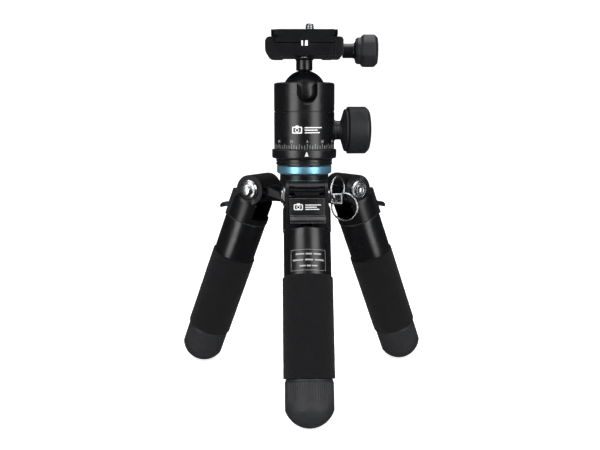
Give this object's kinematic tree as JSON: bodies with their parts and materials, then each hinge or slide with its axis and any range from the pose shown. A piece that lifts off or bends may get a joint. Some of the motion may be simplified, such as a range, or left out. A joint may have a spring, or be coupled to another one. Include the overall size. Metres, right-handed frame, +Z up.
{
  "type": "mini tabletop tripod",
  "caption": "Mini tabletop tripod with a panning ball head, a quick-release plate, hinged foam-gripped legs and ribbed rubber feet.",
  "frame": {"origin": "on the ground, under the middle of the footprint", "axes": "+Z up; -Y towards the front leg; +X towards the two knobs"},
  "size_m": [0.1826, 0.1622, 0.2481],
  "materials": {
    "black_alloy": "black anodised aluminium, satin",
    "black_rubber": "matte black moulded rubber",
    "foot_rubber": "dark grey ribbed rubber",
    "foam": "black closed-cell foam, fine grain",
    "chrome": "polished chrome plate",
    "steel": "zinc-plated steel",
    "blue_alloy": "light blue anodised aluminium, polished",
    "white_plastic": "natural acetal"
  },
  "bodies": {
    "stand": {"spider": "black_alloy", "mount_stud": "steel", "accent_ring": "blue_alloy", "pan_base": "black_alloy", "pan_washer": "white_plastic"},
    "head": {"head_housing": "black_alloy", "ball_seat": "white_plastic"},
    "lock": {"lock_screw": "steel", "lock_knob": "black_rubber"},
    "ball": {"ball": "black_alloy"},
    "stem": {"head_stem": "black_alloy"},
    "clamp": {"clamp_body": "black_alloy", "guide_pin_near": "steel", "guide_pin_far": "steel", "clamp_centre_screw": "steel"},
    "jaw": {"clamp_jaw": "black_alloy"},
    "clamp_knob": {"clamp_screw": "steel", "clamp_knob": "black_rubber"},
    "plate": {"qr_plate": "black_alloy", "plate_pad": "black_rubber", "stop_screw_near": "steel", "stop_screw_far": "steel"},
    "camera_screw": {"camera_screw": "steel"},
    "leg_front": {"leg_yoke_front": "black_alloy", "hinge_bolt_front": "chrome", "ring_lug": "chrome", "selector_spring_front": "steel", "leg_tube_front": "black_alloy", "leg_grip_front": "foam", "foot_stud_front": "steel"},
    "selector_front": {"angle_selector_front": "black_alloy"},
    "foot_front": {"foot_front": "foot_rubber"},
    "leg_right": {"leg_yoke_right": "black_alloy", "hinge_bolt_right": "chrome", "hinge_nut_right": "chrome", "selector_spring_right": "steel", "leg_tube_right": "black_alloy", "leg_grip_right": "foam", "foot_stud_right": "steel"},
    "selector_right": {"angle_selector_right": "black_alloy"},
    "foot_right": {"foot_right": "foot_rubber"},
    "leg_left": {"leg_yoke_left": "black_alloy", "hinge_bolt_left": "chrome", "hinge_nut_left": "chrome", "selector_spring_left": "steel", "leg_tube_left": "black_alloy", "leg_grip_left": "foam", "foot_stud_left": "steel"},
    "selector_left": {"angle_selector_left": "black_alloy"},
    "foot_left": {"foot_left": "foot_rubber"},
    "link": {"link_ring": "chrome"},
    "key": {"key_ring": "chrome"}
  },
  "joints": [
    {"name": "head_pan", "type": "hinge", "parent": "stand", "child": "head", "pos_m": [0, 0.02176, 0.1642], "axis": [0, 0, 1], "continuous": true},
    {"name": "lock_knob_turn", "type": "hinge", "parent": "head", "child": "lock", "pos_m": [0.02994, 0.0236, 0.1769], "axis": [0.9981, 0.061, 0], "range_deg": [0, 360]},
    {"name": "ball_tilt_side", "type": "hinge", "parent": "head", "child": "ball", "pos_m": [0, 0.02176, 0.2025], "axis": [-0.061, 0.9981, 0], "range_deg": [-25, 25]},
    {"name": "ball_tilt_front", "type": "hinge", "parent": "ball", "child": "stem", "pos_m": [0, 0.02176, 0.2025], "axis": [0.9981, 0.061, 0], "range_deg": [-25, 90]},
    {"name": "ball_spin", "type": "hinge", "parent": "stem", "child": "clamp", "pos_m": [0, 0.02176, 0.224], "axis": [0, 0, 1], "continuous": true},
    {"name": "jaw_slide", "type": "slide", "parent": "clamp", "child": "jaw", "axis": [0.9994, -0.0349, 0], "range_m": [0, 0.003]},
    {"name": "clamp_knob_turn", "type": "hinge", "parent": "jaw", "child": "clamp_knob", "pos_m": [0.02998, 0.02072, 0.2303], "axis": [0.9994, -0.0349, 0], "range_deg": [0, 1080]},
    {"name": "plate_slide", "type": "slide", "parent": "clamp", "child": "plate", "axis": [0.0349, 0.9994, 0], "range_m": [-0.004, 0.004]},
    {"name": "camera_screw_turn", "type": "hinge", "parent": "plate", "child": "camera_screw", "pos_m": [0.0036, 0.02164, 0.24], "axis": [0, 0, 1], "continuous": true},
    {"name": "leg_front_spread", "type": "hinge", "parent": "stand", "child": "leg_front", "pos_m": [0, -0.01484, 0.1351], "axis": [-1, 0, 0], "range_deg": [-22, 60]},
    {"name": "selector_front_pull", "type": "slide", "parent": "leg_front", "child": "selector_front", "axis": [0, -0.3762, -0.9265], "range_m": [0, 0.004], "stiffness_N_per_m": 250, "springref_m": -0.002, "deforming": ["selector_spring_front"]},
    {"name": "foot_front_twist", "type": "hinge", "parent": "leg_front", "child": "foot_front", "pos_m": [0, -0.06174, 0.02463], "axis": [0, -0.3762, -0.9265], "range_deg": [-180, 180]},
    {"name": "leg_right_spread", "type": "hinge", "parent": "stand", "child": "leg_right", "pos_m": [0.0317, 0.04006, 0.1351], "axis": [0.5, -0.866, 0], "range_deg": [-22, 60]},
    {"name": "selector_right_pull", "type": "slide", "parent": "leg_right", "child": "selector_right", "axis": [0.3258, 0.1881, -0.9265], "range_m": [0, 0.004], "stiffness_N_per_m": 250, "springref_m": -0.002, "deforming": ["selector_spring_right"]},
    {"name": "foot_right_twist", "type": "hinge", "parent": "leg_right", "child": "foot_right", "pos_m": [0.07232, 0.06352, 0.02463], "axis": [0.3258, 0.1881, -0.9265], "range_deg": [-180, 180]},
    {"name": "leg_left_spread", "type": "hinge", "parent": "stand", "child": "leg_left", "pos_m": [-0.0317, 0.04006, 0.1351], "axis": [0.5, 0.866, 0], "range_deg": [-22, 60]},
    {"name": "selector_left_pull", "type": "slide", "parent": "leg_left", "child": "selector_left", "axis": [-0.3258, 0.1881, -0.9265], "range_m": [0, 0.004], "stiffness_N_per_m": 250, "springref_m": -0.002, "deforming": ["selector_spring_left"]},
    {"name": "foot_left_twist", "type": "hinge", "parent": "leg_left", "child": "foot_left", "pos_m": [-0.07232, 0.06352, 0.02463], "axis": [-0.3258, 0.1881, -0.9265], "range_deg": [-180, 180]},
    {"name": "link_swing", "type": "hinge", "parent": "leg_front", "child": "link", "pos_m": [0.0202, -0.01584, 0.1326], "axis": [0.6157, 0.788, 0], "range_deg": [-3, 3]},
    {"name": "key_swing", "type": "hinge", "parent": "link", "child": "key", "pos_m": [0.0222, -0.01284, 0.1355], "axis": [0.454, 0.891, 0], "range_deg": [-6, 6]}
  ],
  "couplings": [
    {"joint": "clamp_knob_turn", "follows": "jaw_slide", "rad_per_m": 6283}
  ]
}
